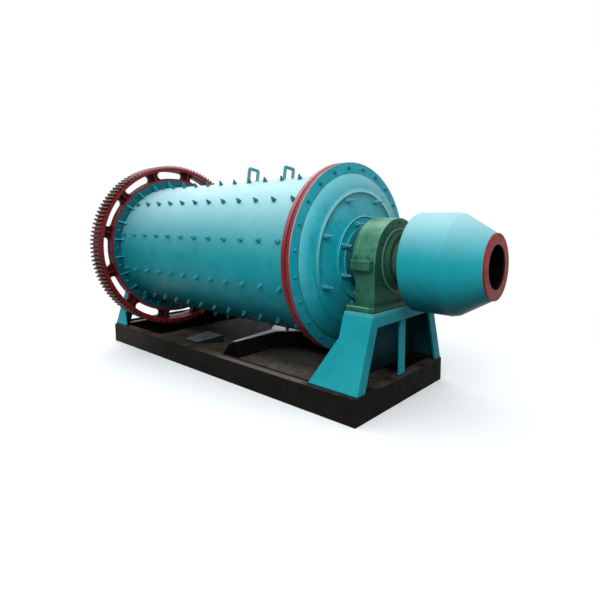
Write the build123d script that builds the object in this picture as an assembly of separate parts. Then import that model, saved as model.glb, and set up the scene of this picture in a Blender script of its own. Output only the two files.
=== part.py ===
from build123d import *
import os
from math import cos, sin, radians

os.makedirs("parts", exist_ok=True)

# Ball mill of nominal 1.5 m by 3 m on a skid base. Millimetres, +Z up.
# The mill axis runs along X, the feed end is at +X. The origin is on the floor, in the middle of the plan.
# Positions along X are first counted from the outer face of the feed end flange.

# shell and the flanges at its ends
shell_length = 3004.0
shell_radius = 770.0
shell_wall = 20.0
flange_width = 105.0
flange_thickness = 43.0
groove_width = 9.0
groove_depth = 25.0
gear_flange_width = 100.0
gear_flange_thickness = 40.0
gusset_count = 24
gusset_thickness = 14.0
gusset_length = 70.0
gusset_margin = 8.0

# end covers, with two points of the dished slope as shares of its rise and width
cover_wall = 42.0
cover_shoulder_margin = 2.0
cover_step = 12.0
cover_slope_width = 161.0
cover_rise = 78.0
cover_step_share = 0.02
low_rise_share = 0.45
low_slope_share = 0.24
high_rise_share = 0.80
high_slope_share = 0.57
cover_hub_rise = 84.0
lip_width = 10.0
cover_lip_depth = 14.0
cover_recess_width = 88.0
gear_cover_rise = 26.0

# hollow trunnions
journal_radius = 215.0
trunnion_wall = 65.0
cover_hole_margin = 45.0
trunnion_flange_width = 130.0
trunnion_flange_thickness = 28.0
trunnion_lip_depth = 12.0
gear_trunnion_flange_thickness = 10.0
trunnion_root_width = 75.0
trunnion_root_length = 50.0
running_fit = 0.08
discharge_overhang = 72.0

# girth gear, with the height of a tooth in modules and its widths as shares of the pitch
gear_module = 16.0
tooth_height = 2.25
tooth_root_share = 0.34
tooth_tip_share = 0.17
gear_width = 225.0
gear_overhang = 155.0
web_thickness = 34.0
web_setback = 50.0
hub_ring_width = 23.0
web_margin = 28.0
window_count = 12
window_phase = -2.9
window_height = 90.0
window_angle = 16.0
rim_margin = 7.0
rim_thickness = 29.0
mounting_ring_gap = 10.0
mounting_ring_thickness = 30.0
gear_rib_thickness = 22.0
gear_rib_setback = 12.0
gear_floor_clearance = 180.0

# feed drum
drum_gap = 223.0
drum_barrel_length = 313.0
drum_cone_length = 311.0
drum_radius = 412.0
drum_shoulder_length = 46.0
drum_shoulder_drop = 10.0
mouth_ring_radius = 257.0
mouth_ring_width = 85.0
mouth_ring_thickness = 16.0
drum_wall = 12.0
drum_back_thickness = 16.0

# bearings
bearing_gap = 128.0
bearing_width = 237.0
bearing_body_width = 195.0
gear_bearing_width = 175.0
bearing_thickness = 155.0
bearing_body_margin = 6.0
bearing_under = 28.0
ear_width = 61.0
ear_above = 29.0
ear_below = 60.0
ear_back_inset = 35.0
ear_front_inset = 15.0
foot_thickness = 44.0
foot_width = 80.0
foot_back_margin = 35.0
foot_front_margin = 48.0
bearing_ring_clearance = 9.0
bearing_ring_width = 62.0
bearing_ring_thickness = 12.0
bearing_neck_width = 26.0
bearing_neck_length = 45.0

# base of channel beams
base_height = 224.0
base_half_width = 720.0
base_end_margin = 1.0
beam_flange = 98.0
beam_plate = 12.0

# deck and raised pad between the side beams
bay_length = 2054.0
deck_length = 923.0
deck_thickness = 12.0
floor_thickness = 10.0
front_cut_length = 300.0
front_cut_knee = 80.0
front_cut_knee_width = 222.0
front_cut_width = 380.0
rear_cut = 232.0
pad_from_back = 456.0
pad_front_length = 237.0
pad_rear_length = 300.0
pad_shift = 116.0
pad_width = 229.0
pad_margin = 38.0
pad_front_thickness = 16.0
pad_rear_thickness = 81.0

# pedestals, with the height of each knee as a share of the pedestal's height
pedestal_plate = 20.0
pedestal_top_thickness = 25.0
pedestal_top_margin = 41.0
pedestal_foot_inset = 18.0
pedestal_beam_depth = 108.0
pedestal_leg = 105.0
pedestal_post = 84.0
pedestal_rail = 28.0
pedestal_back_inset = 15.0
pedestal_front_margin = 23.0
feed_flare_length = 230.0
feed_knee_share = 0.665
gear_side_clearance = 15.0
gear_foot_overhang = 17.0
gear_flare_length = 120.0
gear_knee_share = 0.22

# handles on top of the shell
handle_bar = 25.0
handle_width = 150.0
handle_height = 140.0
handle_from_flange = 805.0
handle_spacing = 412.0
feed_handle_offset = -20.0
gear_handle_offset = -149.0

# radii
flange_radius = shell_radius + flange_width
gear_flange_radius = shell_radius + gear_flange_width
cover_shoulder_radius = shell_radius + cover_shoulder_margin
cover_ring_radius = cover_shoulder_radius - cover_slope_width
cover_hole_radius = journal_radius + cover_hole_margin
trunnion_bore = journal_radius - trunnion_wall
trunnion_flange_radius = cover_hole_radius + trunnion_flange_width
window_inner = gear_flange_radius + web_margin
window_outer = window_inner + window_height
rim_inner = window_outer + rim_margin
gear_root_radius = rim_inner + rim_thickness
gear_tip_radius = gear_root_radius + tooth_height * gear_module
tooth_count = round(2 * gear_tip_radius / gear_module - 2)
bearing_radius = journal_radius + bearing_thickness
bearing_ring_inner = journal_radius + bearing_ring_clearance
mouth_radius = mouth_ring_radius - mouth_ring_width

# heights, from the gap between the girth gear and the floor
axis_height = gear_tip_radius + gear_floor_clearance
pedestal_low = base_height
foot_bottom = axis_height - bearing_radius - bearing_under
pedestal_height = foot_bottom - pedestal_low

# positions along X at the feed end
shell_end = -flange_thickness - groove_width
feed_hub = cover_hub_rise
feed_bearing_back = feed_hub + trunnion_flange_thickness + bearing_gap
feed_bearing_front = feed_bearing_back + bearing_width
feed_body_back = feed_bearing_front - bearing_body_width
feed_foot_back = feed_body_back - foot_back_margin
feed_foot_front = feed_bearing_front + foot_front_margin
drum_back = feed_bearing_front + drum_gap
drum_seam = drum_back + drum_barrel_length
drum_mouth = drum_seam + drum_cone_length
feed_pedestal_back = feed_foot_back + pedestal_back_inset
feed_pedestal_front = feed_foot_front + pedestal_front_margin
base_feed_end = feed_pedestal_front + base_end_margin

# positions along X at the gear end
gear_plane = shell_end - shell_length
gear_flange_face = gear_plane + gear_flange_thickness
gear_back = gear_plane - gear_overhang
cover_seat = gear_plane - mounting_ring_thickness
gear_cover_face = cover_seat - flange_thickness
gear_hub = gear_cover_face - gear_cover_rise
gear_pedestal_front = gear_back - gear_side_clearance
gear_bearing_front = gear_pedestal_front + gear_foot_overhang
gear_bearing_back = gear_bearing_front - gear_bearing_width
discharge_end = gear_bearing_back - discharge_overhang
base_gear_end = gear_bearing_back
middle = (drum_mouth + discharge_end) / 2

# base outline
beam_inner = base_half_width - beam_flange
deck_front = base_feed_end - bay_length
deck_back = deck_front - deck_length
deck_low = base_height - deck_thickness


def save(name, shape):
    placed = Pos(-middle, 0, 0) * shape
    placed.label = name
    export_step(placed, f"parts/{name}.step")
    print(name, round(placed.volume / 1e6, 2), "litres")


def block(x, y, z):
    sizes = (abs(x[1] - x[0]), abs(y[1] - y[0]), abs(z[1] - z[0]))
    return Pos(sum(x) / 2, sum(y) / 2, sum(z) / 2) * Box(*sizes)


def turned(points):
    # closed outline of (position along X, radius), turned round the mill axis
    outline = make_face(Plane.XZ * Polyline(*points, close=True))
    return Pos(0, 0, axis_height) * revolve(outline, Axis.X, 360)


def ring(x_low, x_high, inner, outer):
    return turned([(x_low, inner), (x_high, inner), (x_high, outer), (x_low, outer)])


def across(x_low, x_high, shape, height=axis_height):
    # sketch of (Y, Z) seen along the mill axis, pushed from one X position to the other
    placed = Plane(origin=(x_low, 0, height), x_dir=(0, 1, 0), z_dir=(1, 0, 0)) * shape
    return extrude(placed, x_high - x_low)


def radial_plate(points, thickness, angle):
    # outline of (position along X, radius) of a plate that stands on the mill's surface
    # the angle counts from the top
    plate = extrude(make_face(Plane.XZ * Polyline(*points, close=True)), thickness / 2, both=True)
    return Pos(0, 0, axis_height) * Rot(angle, 0, 0) * plate


# shell with a flange at each end
save("shell", ring(gear_plane, shell_end, shell_radius - shell_wall, shell_radius))
save("feed_shell_flange", ring(shell_end - flange_thickness, shell_end, shell_radius, flange_radius))

gear_flange = ring(gear_plane, gear_flange_face, shell_radius, gear_flange_radius)
gusset_outline = [
    (gear_plane, shell_radius - shell_wall / 2),
    (gear_flange_face + gusset_length, shell_radius - shell_wall / 2),
    (gear_flange_face + gusset_length, shell_radius + gusset_margin),
    (gear_flange_face + gusset_margin, gear_flange_radius - gusset_margin),
    (gear_plane, gear_flange_radius - gusset_margin),
]
for i in range(gusset_count):
    angle = (i + 0.5) * 360 / gusset_count
    gear_flange = gear_flange + radial_plate(gusset_outline, gusset_thickness, angle)
shell_space = ring(gear_plane, shell_end, shell_radius - shell_wall, shell_radius)
save("gear_shell_flange", gear_flange - shell_space)


# dished end covers with a bolting flange
cover_inner = shell_radius - shell_wall
groove_radius = flange_radius - groove_depth
feed_cover = turned([
    (shell_end, cover_inner),
    (shell_end, groove_radius),
    (-flange_thickness, groove_radius),
    (-flange_thickness, flange_radius),
    (0, flange_radius),
    (0, cover_shoulder_radius),
    (cover_step, cover_shoulder_radius - cover_step_share * cover_slope_width),
    (low_rise_share * cover_rise, cover_shoulder_radius - low_slope_share * cover_slope_width),
    (high_rise_share * cover_rise, cover_shoulder_radius - high_slope_share * cover_slope_width),
    (cover_rise, cover_ring_radius),
    (cover_rise, cover_ring_radius - lip_width),
    (cover_rise - cover_lip_depth, cover_ring_radius - lip_width),
    (cover_rise - cover_lip_depth, cover_ring_radius - cover_recess_width),
    (cover_hub_rise, trunnion_flange_radius),
    (cover_hub_rise, cover_hole_radius),
    (cover_hub_rise - cover_wall, cover_hole_radius),
    (cover_hub_rise - cover_wall, trunnion_flange_radius),
    (cover_rise - cover_wall, cover_ring_radius),
])
save("feed_end_cover", feed_cover)

gear_cover = turned([
    (cover_seat, cover_inner),
    (cover_seat, gear_flange_radius),
    (gear_cover_face, gear_flange_radius),
    (gear_cover_face, cover_shoulder_radius),
    (gear_hub, cover_ring_radius),
    (gear_hub, cover_hole_radius),
    (gear_hub + cover_wall, cover_hole_radius),
    (gear_hub + cover_wall, cover_ring_radius),
])
save("gear_end_cover", gear_cover)


# hollow trunnions bolted to the covers
root_radius = journal_radius + trunnion_root_width
feed_flange_face = feed_hub + trunnion_flange_thickness
gear_flange_end = gear_hub - gear_trunnion_flange_thickness
save("feed_trunnion_flange", turned([
    (feed_hub - cover_wall, trunnion_bore),
    (feed_flange_face, trunnion_bore),
    (feed_flange_face, root_radius),
    (feed_flange_face - trunnion_lip_depth, root_radius),
    (feed_flange_face - trunnion_lip_depth, trunnion_flange_radius - lip_width),
    (feed_flange_face, trunnion_flange_radius - lip_width),
    (feed_flange_face, trunnion_flange_radius),
    (feed_hub, trunnion_flange_radius),
    (feed_hub, cover_hole_radius),
    (feed_hub - cover_wall, cover_hole_radius),
]))
save("feed_trunnion", turned([
    (feed_flange_face, trunnion_bore),
    (drum_back, trunnion_bore),
    (drum_back, journal_radius),
    (feed_flange_face + trunnion_root_length, journal_radius),
    (feed_flange_face, root_radius),
]))
save("gear_trunnion_flange", turned([
    (gear_hub + cover_wall, trunnion_bore),
    (gear_flange_end, trunnion_bore),
    (gear_flange_end, trunnion_flange_radius),
    (gear_hub, trunnion_flange_radius),
    (gear_hub, cover_hole_radius),
    (gear_hub + cover_wall, cover_hole_radius),
]))
save("gear_trunnion", ring(discharge_end, gear_flange_end, trunnion_bore, journal_radius))


# girth gear, a rim with straight teeth on a web with windows
tooth_pitch = 360 / tooth_count
tooth_radii = (gear_root_radius, gear_tip_radius, gear_tip_radius, gear_root_radius)
tooth_shares = (-tooth_root_share, -tooth_tip_share, tooth_tip_share, tooth_root_share)
tooth_outline = []
for i in range(tooth_count):
    for share, radius in zip(tooth_shares, tooth_radii):
        angle = radians((i + share) * tooth_pitch)
        tooth_outline.append((radius * cos(angle), radius * sin(angle)))
toothed = make_face(Polyline(*tooth_outline, close=True)) - Circle(rim_inner)
save("girth_gear_rim", across(gear_back, gear_back + gear_width, toothed))

# the web stands back from the face of the hub ring that surrounds the flange, with a rib on each spoke
web_back = gear_plane - web_setback
web_front = web_back + web_thickness
hub_ring_outer = gear_flange_radius + hub_ring_width
mounting_ring_inner = shell_radius + mounting_ring_gap
web = turned([
    (web_back, gear_flange_radius),
    (cover_seat, gear_flange_radius),
    (cover_seat, mounting_ring_inner),
    (gear_plane, mounting_ring_inner),
    (gear_plane, gear_flange_radius),
    (gear_flange_face, gear_flange_radius),
    (gear_flange_face, hub_ring_outer),
    (web_front, hub_ring_outer),
    (web_front, rim_inner),
    (web_back, rim_inner),
])
rib_front = gear_flange_face - gear_rib_setback
rib_back = web_back + web_thickness / 2
rib_inner = gear_flange_radius + hub_ring_width / 2
rib_outline = [
    (rib_back, rib_inner),
    (rib_front, rib_inner),
    (rib_front, gear_root_radius),
    (rib_back, gear_root_radius),
]
window_middle = (window_inner + window_outer) / 2
window_pitch = 360 / window_count
for i in range(window_count):
    # angles count from the front side upward, and a rib stands half way between two windows
    centre = window_phase + i * window_pitch
    path = CenterArc((0, 0), window_middle, 180 - centre - window_angle / 2, window_angle)
    web = web - across(web_back, web_front, SlotArc(path, window_height))
    web = web + radial_plate(rib_outline, gear_rib_thickness, 90 - centre - window_pitch / 2)
save("girth_gear_web", web - ring(gear_back, gear_back + gear_width, rim_inner, gear_tip_radius))


# feed drum on the feed trunnion
barrel_back = drum_back + drum_back_thickness
ring_back = drum_mouth - mouth_ring_thickness
cone_shoulder = drum_seam + drum_shoulder_length
shoulder_radius = drum_radius - drum_shoulder_drop
save("feed_drum_back", ring(drum_back, barrel_back, trunnion_bore, drum_radius))
save("feed_drum_barrel", ring(barrel_back, drum_seam, drum_radius - drum_wall, drum_radius))
save("feed_drum_cone", turned([
    (drum_seam, drum_radius - drum_wall),
    (cone_shoulder, shoulder_radius - drum_wall),
    (ring_back, mouth_ring_radius - drum_wall),
    (ring_back, mouth_ring_radius),
    (cone_shoulder, shoulder_radius),
    (drum_seam, drum_radius),
]))
save("feed_mouth_ring", ring(ring_back, drum_mouth, mouth_radius, mouth_ring_radius))


# lifting handles, a square bar bent to an upturned U and welded to the shell
handle_x = shell_end - handle_from_flange
handle_top = axis_height + shell_radius + handle_height
handle_places = {
    "feed_side": (handle_x, feed_handle_offset),
    "gear_side": (handle_x - handle_spacing, gear_handle_offset),
}
for word, (x, y) in handle_places.items():
    span = (x - handle_bar / 2, x + handle_bar / 2)
    sides = (y - handle_width / 2, y + handle_width / 2)
    inner = (sides[0] + handle_bar, sides[1] - handle_bar)
    handle = block(span, sides, (axis_height, handle_top))
    handle = handle - block(span, inner, (axis_height, handle_top - handle_bar))
    save(f"shell_handle_{word}", handle - ring(*span, 0, shell_radius))


# bearing housings, split level with the axis
def bearing(name, back, front, body_back, foot, ring_face, ring_side):
    bore = ring(back, front, 0, journal_radius + running_fit)
    housing = ring(back, front, journal_radius + running_fit, bearing_radius)
    body_half = bearing_radius + bearing_body_margin
    ear_half = body_half + ear_width
    foot_half = body_half + foot_width
    ears = (back + ear_back_inset, front - ear_front_inset)
    wide = (-bearing_radius, bearing_radius)
    cap = housing & block((back, front), wide, (axis_height, axis_height + bearing_radius))
    cap_ears = block(ears, (-ear_half, ear_half), (axis_height, axis_height + ear_above)) - bore
    save(f"{name}_bearing_cap", cap + cap_ears)
    lower = housing & block((back, front), wide, (axis_height - bearing_radius, axis_height))
    body = block((body_back, front), (-body_half, body_half), (foot_bottom, axis_height))
    body = body + block(ears, (-ear_half, ear_half), (axis_height - ear_below, axis_height))
    body = (body - bore) + block(foot, (-foot_half, foot_half), (foot_bottom, foot_bottom + foot_thickness))
    save(f"{name}_bearing_base", lower + body)
    ring_outer = bearing_ring_inner + bearing_ring_width
    neck_outer = bearing_ring_inner + bearing_neck_width
    step = ring_face + ring_side * bearing_ring_thickness
    neck_end = step + ring_side * bearing_neck_length
    save(f"{name}_bearing_ring", turned([
        (ring_face, bearing_ring_inner),
        (ring_face, ring_outer),
        (step, ring_outer),
        (step, neck_outer),
        (neck_end, neck_outer),
        (neck_end, bearing_ring_inner),
    ]))


feed_foot = (feed_foot_back, feed_foot_front)
gear_foot = (gear_bearing_back, gear_bearing_front)
bearing("feed", feed_bearing_back, feed_bearing_front, feed_body_back, feed_foot, feed_bearing_front, 1)
bearing("gear", gear_bearing_back, gear_bearing_front, gear_bearing_back, gear_foot, gear_bearing_back, -1)


# base of channel beams with their webs outward, the side beams closed by a plate at both ends
def channel(x, y, web_side):
    inner_z = (beam_plate, base_height - beam_plate)
    hollow_x = (x[0] + beam_plate * (web_side != "x high"), x[1] - beam_plate * (web_side != "x low"))
    hollow_y = (y[0] + beam_plate * (web_side == "y low"), y[1] - beam_plate * (web_side == "y high"))
    return block(x, y, (0, base_height)) - block(hollow_x, hollow_y, inner_z)


base_span = (base_gear_end, base_feed_end)
between = (-beam_inner, beam_inner)
save("side_beam_front", channel(base_span, (-base_half_width, -beam_inner), "y low"))
save("side_beam_rear", channel(base_span, (beam_inner, base_half_width), "y high"))
save("end_beam_feed", channel((base_feed_end - beam_flange, base_feed_end), between, "x high"))
save("end_beam_gear", channel((base_gear_end, base_gear_end + beam_flange), between, "x low"))

# the edge of the deck towards the open bay, from the front side beam to the rear one, with its cut corners
edge = [
    (deck_front + front_cut_length, -beam_inner),
    (deck_front + front_cut_knee, front_cut_knee_width - beam_inner),
    (deck_front, front_cut_width - beam_inner),
    (deck_front, beam_inner - rear_cut),
    (deck_front + rear_cut, beam_inner),
]


def slope(first, second):
    # change in X for each step in Y
    return (second[0] - first[0]) / (second[1] - first[1])


def set_back(points, distance):
    # the broken line moved back by a distance square to each run
    # its two end points stay at their Y, the others lie where two moved runs cross
    runs = []
    for first, second in zip(points[:-1], points[1:]):
        lean = slope(first, second)
        shift = distance * (1 + lean**2) ** 0.5
        runs.append((lean, first[0] - lean * first[1] - shift))
    moved = [(runs[0][1] + runs[0][0] * points[0][1], points[0][1])]
    for (lean, start), (next_lean, next_start) in zip(runs[:-1], runs[1:]):
        y = (next_start - start) / (lean - next_lean)
        moved.append((start + lean * y, y))
    moved.append((runs[-1][1] + runs[-1][0] * points[-1][1], points[-1][1]))
    return moved


web_back_edge = set_back(edge, beam_plate)[::-1]
deck_outline = [(deck_back, -beam_inner), *edge, (deck_back, beam_inner)]
bay_end = base_feed_end - beam_flange
floor_outline = [*edge, (bay_end, beam_inner), (bay_end, -beam_inner)]
deck_face = make_face(Polyline(*deck_outline, close=True))
save("deck_plate", extrude(Pos(0, 0, deck_low) * deck_face, deck_thickness))
save("cross_beam", extrude(make_face(Polyline(*edge, *web_back_edge, close=True)), deck_low))
save("bay_floor_plate", extrude(make_face(Polyline(*floor_outline, close=True)), floor_thickness))
pad_x = deck_back + pad_from_back
pad_front = pad_margin - beam_inner
pad_rear = pad_front + pad_width
pad_top = base_height + pad_rear_thickness
# the pad is a skewed wedge, thin at the front beam and thick at the rear
pad_plan = [
    (pad_x, pad_front),
    (pad_x + pad_front_length, pad_front),
    (pad_x + pad_shift + pad_rear_length, pad_rear),
    (pad_x + pad_shift, pad_rear),
]
pad_side = [
    (pad_front, base_height),
    (pad_rear, base_height),
    (pad_rear, pad_top),
    (pad_front, base_height + pad_front_thickness),
]
pad_block = extrude(Pos(0, 0, base_height) * make_face(Polyline(*pad_plan, close=True)), pad_rear_thickness)
pad_span = (pad_x, pad_x + pad_shift + pad_rear_length)
save("deck_pad", pad_block & across(*pad_span, make_face(Polyline(*pad_side, close=True)), 0))


# pedestals, two leaning side plates with an open frame on the outer side
# the inner side is a closed plate at the feed end and a frame without a post at the gear end
plate_top = foot_bottom - pedestal_top_thickness
pedestal_top_half = bearing_radius + bearing_body_margin + foot_width + pedestal_top_margin
pedestal_foot_half = base_half_width - pedestal_foot_inset
top_wide = (-pedestal_top_half, pedestal_top_half)


def half_width(z):
    widening = pedestal_foot_half - pedestal_top_half
    return pedestal_top_half + widening * (foot_bottom - z) / pedestal_height


def trapezium(half_low, z_low, half_high, z_high):
    corners = [(-half_low, z_low), (half_low, z_low), (half_high, z_high), (-half_high, z_high)]
    return make_face(Polyline(*corners, close=True))


def end_plate(x_low, x_high):
    low = half_width(pedestal_low) - pedestal_plate
    top = half_width(plate_top) - pedestal_plate
    return across(x_low, x_high, trapezium(low, pedestal_low, top, plate_top), 0)


def end_frame(x_low, x_high, rail):
    # two legs under a beam, over a rail of the given height that may be nought
    head = foot_bottom - pedestal_beam_depth
    sill = pedestal_low + rail
    leg_low = half_width(sill) - pedestal_leg
    leg_head = half_width(head) - pedestal_leg
    opening = trapezium(leg_low, sill, leg_head, head)
    return end_plate(x_low, x_high) - across(x_low, x_high, opening, 0)


def side_plate(outline, side):
    # outline of (X, height), cut from a slab that leans in towards the top
    low = half_width(pedestal_low)
    top = half_width(plate_top)
    corners = [
        (side * (low - pedestal_plate), pedestal_low),
        (side * low, pedestal_low),
        (side * top, plate_top),
        (side * (top - pedestal_plate), plate_top),
    ]
    slab = make_face(Polyline(*corners, close=True))
    x_low = min(x for x, z in outline)
    x_high = max(x for x, z in outline)
    silhouette = extrude(make_face(Plane.XZ * Polyline(*outline, close=True)), low, both=True)
    return across(x_low, x_high, slab, 0) & silhouette


def pedestal(name, outer, inner, toward, flare_length, knee_share, rail):
    # toward is +1 or -1, the way from the outer face to the mill
    # the side plates flare that way between the knee and the foot
    outline = [
        (outer, pedestal_low),
        (inner + toward * flare_length, pedestal_low),
        (inner, pedestal_low + knee_share * pedestal_height),
        (inner, plate_top),
        (outer, plate_top),
    ]
    save(f"{name}_pedestal_side_front", side_plate(outline, -1))
    save(f"{name}_pedestal_side_rear", side_plate(outline, 1))
    save(f"{name}_pedestal_top", block((outer, inner), top_wide, (plate_top, foot_bottom)))
    # a post stands against the back of the outer frame, in its middle
    frame_back = outer + toward * pedestal_plate
    post_x = (frame_back, frame_back + toward * pedestal_plate)
    post = block(post_x, (-pedestal_post / 2, pedestal_post / 2), (pedestal_low, plate_top))
    save(f"{name}_pedestal_outer_frame", end_frame(*sorted((outer, frame_back)), rail) + post)
    return sorted((inner, inner - toward * pedestal_plate))


feed_span = (feed_pedestal_front, feed_pedestal_back)
feed_inner = pedestal("feed", *feed_span, -1, feed_flare_length, feed_knee_share, 0)
save("feed_pedestal_inner_plate", end_plate(*feed_inner))
gear_span = (base_gear_end, gear_pedestal_front)
gear_inner = pedestal("gear", *gear_span, 1, gear_flare_length, gear_knee_share, pedestal_rail)
save("gear_pedestal_inner_frame", end_frame(*gear_inner, 0))
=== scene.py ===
import math
import bpy
import numpy as np
from mathutils import Euler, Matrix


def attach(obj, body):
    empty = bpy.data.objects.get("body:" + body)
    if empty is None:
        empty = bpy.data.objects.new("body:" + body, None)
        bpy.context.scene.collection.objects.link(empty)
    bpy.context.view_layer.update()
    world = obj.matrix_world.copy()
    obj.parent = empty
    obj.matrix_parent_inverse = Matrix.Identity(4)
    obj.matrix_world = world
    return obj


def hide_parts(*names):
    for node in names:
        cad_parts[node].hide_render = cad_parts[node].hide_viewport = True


# Ball mill: a painted drum with a girth gear, in two bearings on a beam base.
# Metres. The mill axis runs along X at the height axisHeight; angles round it count from the front (-Y) upward.

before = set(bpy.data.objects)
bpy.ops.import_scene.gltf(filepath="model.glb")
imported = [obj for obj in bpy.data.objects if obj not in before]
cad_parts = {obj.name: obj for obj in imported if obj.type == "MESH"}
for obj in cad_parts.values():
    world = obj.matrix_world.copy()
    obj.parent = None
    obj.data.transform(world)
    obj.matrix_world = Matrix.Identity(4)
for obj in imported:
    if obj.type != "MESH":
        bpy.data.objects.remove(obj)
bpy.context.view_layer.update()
print("frame loaded,", len(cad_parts), "nodes")

axisHeight = 1.24
turn = 2 * math.pi


# numbers to meshes

def linearColour(code):
    # sRGB hex to linear: c / 12.92 up to 0.04045, above it ((c + 0.055) / 1.055) ^ 2.4
    channels = np.array([int(code[i:i + 2], 16) for i in (1, 3, 5)]) / 255
    linear = np.where(channels <= 0.04045, channels / 12.92, ((channels + 0.055) / 1.055) ** 2.4)
    return (*linear.tolist(), 1.0)


def unit(vectors):
    # each vector divided by its length
    return vectors / np.linalg.norm(vectors, axis=-1, keepdims=True)


def evenAngles(first, count):
    # count angles in degrees, even steps of a whole turn from the first one
    return first + np.arange(count) * 360 / count


def skinFaces(rows, columns, closed=False):
    # quads (i, j), (i, j+1), (i+1, j+1), (i+1, j) whose j runs round; where the skin is closed i runs round too,
    # and where it is open a face lies over its first row and one over its last
    i, j = np.meshgrid(np.arange(rows if closed else rows - 1), np.arange(columns), indexing="ij")
    nextI, nextJ = (i + 1) % rows, (j + 1) % columns
    corners = [i * columns + j, i * columns + nextJ, nextI * columns + nextJ, nextI * columns + j]
    faces = [tuple(face) for face in np.stack(corners, -1).reshape(-1, 4).tolist()]
    if not closed:
        faces += [tuple(range(columns)), tuple(range((rows - 1) * columns, rows * columns))]
    return faces


def signedVolume(points, faces):
    # sum over the faces' triangle fans of a . (b x c) / 6
    total = 0.0
    for size in set(len(face) for face in faces):
        corners = points[np.array([face for face in faces if len(face) == size])]
        for k in range(1, size - 1):
            a, b, c = corners[:, 0], corners[:, k], corners[:, k + 1]
            total += np.einsum("ij,ij->i", a, np.cross(b, c)).sum() / 6
    return total


def buildPiece(name, parts, body, material, smoothAngle=35, replaced=()):
    # joins closed shapes (points, faces) into one piece, with every shape's faces turned outward
    allPoints, allFaces, start = [], [], 0
    for points, faces in parts:
        points = points.reshape(-1, 3)
        if signedVolume(points, faces) < 0:
            faces = [tuple(reversed(face)) for face in faces]
        allPoints.append(points)
        allFaces += [tuple(index + start for index in face) for face in faces]
        start += len(points)
    mesh = bpy.data.meshes.new(name)
    mesh.from_pydata(np.concatenate(allPoints).tolist(), [], allFaces)
    mesh.shade_smooth()
    mesh.set_sharp_from_angle(angle=math.radians(smoothAngle))
    mesh.materials.append(material)
    piece = bpy.data.objects.new(name, mesh)
    bpy.context.scene.collection.objects.link(piece)
    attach(piece, body)
    if replaced:
        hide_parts(*replaced)
    return piece


def roundedCorners(corners, steps=5, sideShare=0.45, nearest=1e-5):
    # closed outline of (u, v, radius): each corner P becomes the curve (1-t)^2 A + 2t(1-t) P + t^2 B, where A and B
    # lie on its two sides, at the radius from P or at sideShare of the side; points nearer than nearest are merged
    place = np.array([corner[:2] for corner in corners], float)
    radius = np.array([corner[2] for corner in corners], float)[:, None]
    toLast, toNext = np.roll(place, 1, 0) - place, np.roll(place, -1, 0) - place
    lastLength = np.linalg.norm(toLast, axis=1, keepdims=True)
    nextLength = np.linalg.norm(toNext, axis=1, keepdims=True)
    before = place + toLast / lastLength * np.minimum(radius, sideShare * lastLength)
    after = place + toNext / nextLength * np.minimum(radius, sideShare * nextLength)
    t = np.linspace(0, 1, steps)[None, :, None]
    curve = (1 - t) ** 2 * before[:, None] + 2 * t * (1 - t) * place[:, None] + t ** 2 * after[:, None]
    flat = curve.reshape(-1, 2)
    apart = np.linalg.norm(flat - np.roll(flat, 1, 0), axis=1) > nearest
    return flat[apart]


def turnedShape(profile, steps=180, span=None):
    # (x, r) carried round the mill axis, all round or over a span of angles: (x, -r cos a, axisHeight + r sin a)
    whole = span is None
    angles = np.linspace(0, turn, steps, endpoint=False) if whole else np.radians(np.linspace(*span, steps))
    x, r = profile[:, 0][None, :], profile[:, 1][None, :]
    cosine, sine = np.cos(angles)[:, None], np.sin(angles)[:, None]
    points = np.stack([x + 0 * cosine, -r * cosine, axisHeight + r * sine], -1)
    return points, skinFaces(len(angles), len(profile), closed=whole)


def insetOutline(outline, distance, sharpest=0.4):
    # every point moves inward along the mean of its two side normals, divided by the cosine of half their angle;
    # sharpest keeps the points of very sharp corners from running away
    ahead = unit(np.roll(outline, -1, 0) - outline)
    normal = np.stack([-ahead[:, 1], ahead[:, 0]], -1)
    mean = normal + np.roll(normal, 1, 0)
    mean = mean / np.maximum(np.einsum("ij,ij->i", mean, mean)[:, None], sharpest) * 2
    return outline + mean * distance


def pushedShape(outline, low, high, edge, axes="yzx", steps=4):
    # a counter-clockwise outline pushed from low to high; near both ends it shrinks by edge (1 - sin a)
    # while it lies edge (1 - cos a) inside the end, so the rims are round. axes names outline u, v and the push
    angles = np.linspace(0, math.pi / 2, steps)
    inset, back = edge * (1 - np.sin(angles)), edge * (1 - np.cos(angles))
    insets = np.concatenate([inset, inset[::-1]])
    levels = np.concatenate([low + back, high - back[::-1]])
    rings = []
    for distance, level in zip(insets, levels):
        rings.append(np.concatenate([insetOutline(outline, distance), np.full((len(outline), 1), level)], 1))
    points = np.stack(rings)[..., [axes.index(axis) for axis in "xyz"]]
    return points, skinFaces(len(insets), len(outline))


def fastenerShape(rings, sides=12):
    # rings of (height, radius, hexagon share h), closed at both ends:
    # reach = radius (1 - h + h cos 30 / cos(angle folded to -30..30))
    angles = np.arange(sides) * turn / sides
    folded = (angles + turn / 12) % (turn / 6) - turn / 12
    height, radius, share = np.array(rings, float).T
    hexagon = math.cos(turn / 12) / np.cos(folded)
    reach = radius[:, None] * (1 - share[:, None] + share[:, None] * hexagon[None, :])
    points = np.stack([reach * np.cos(angles), reach * np.sin(angles), height[:, None] + 0 * reach], -1)
    return points.reshape(-1, 3), skinFaces(len(rings), sides)


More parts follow.
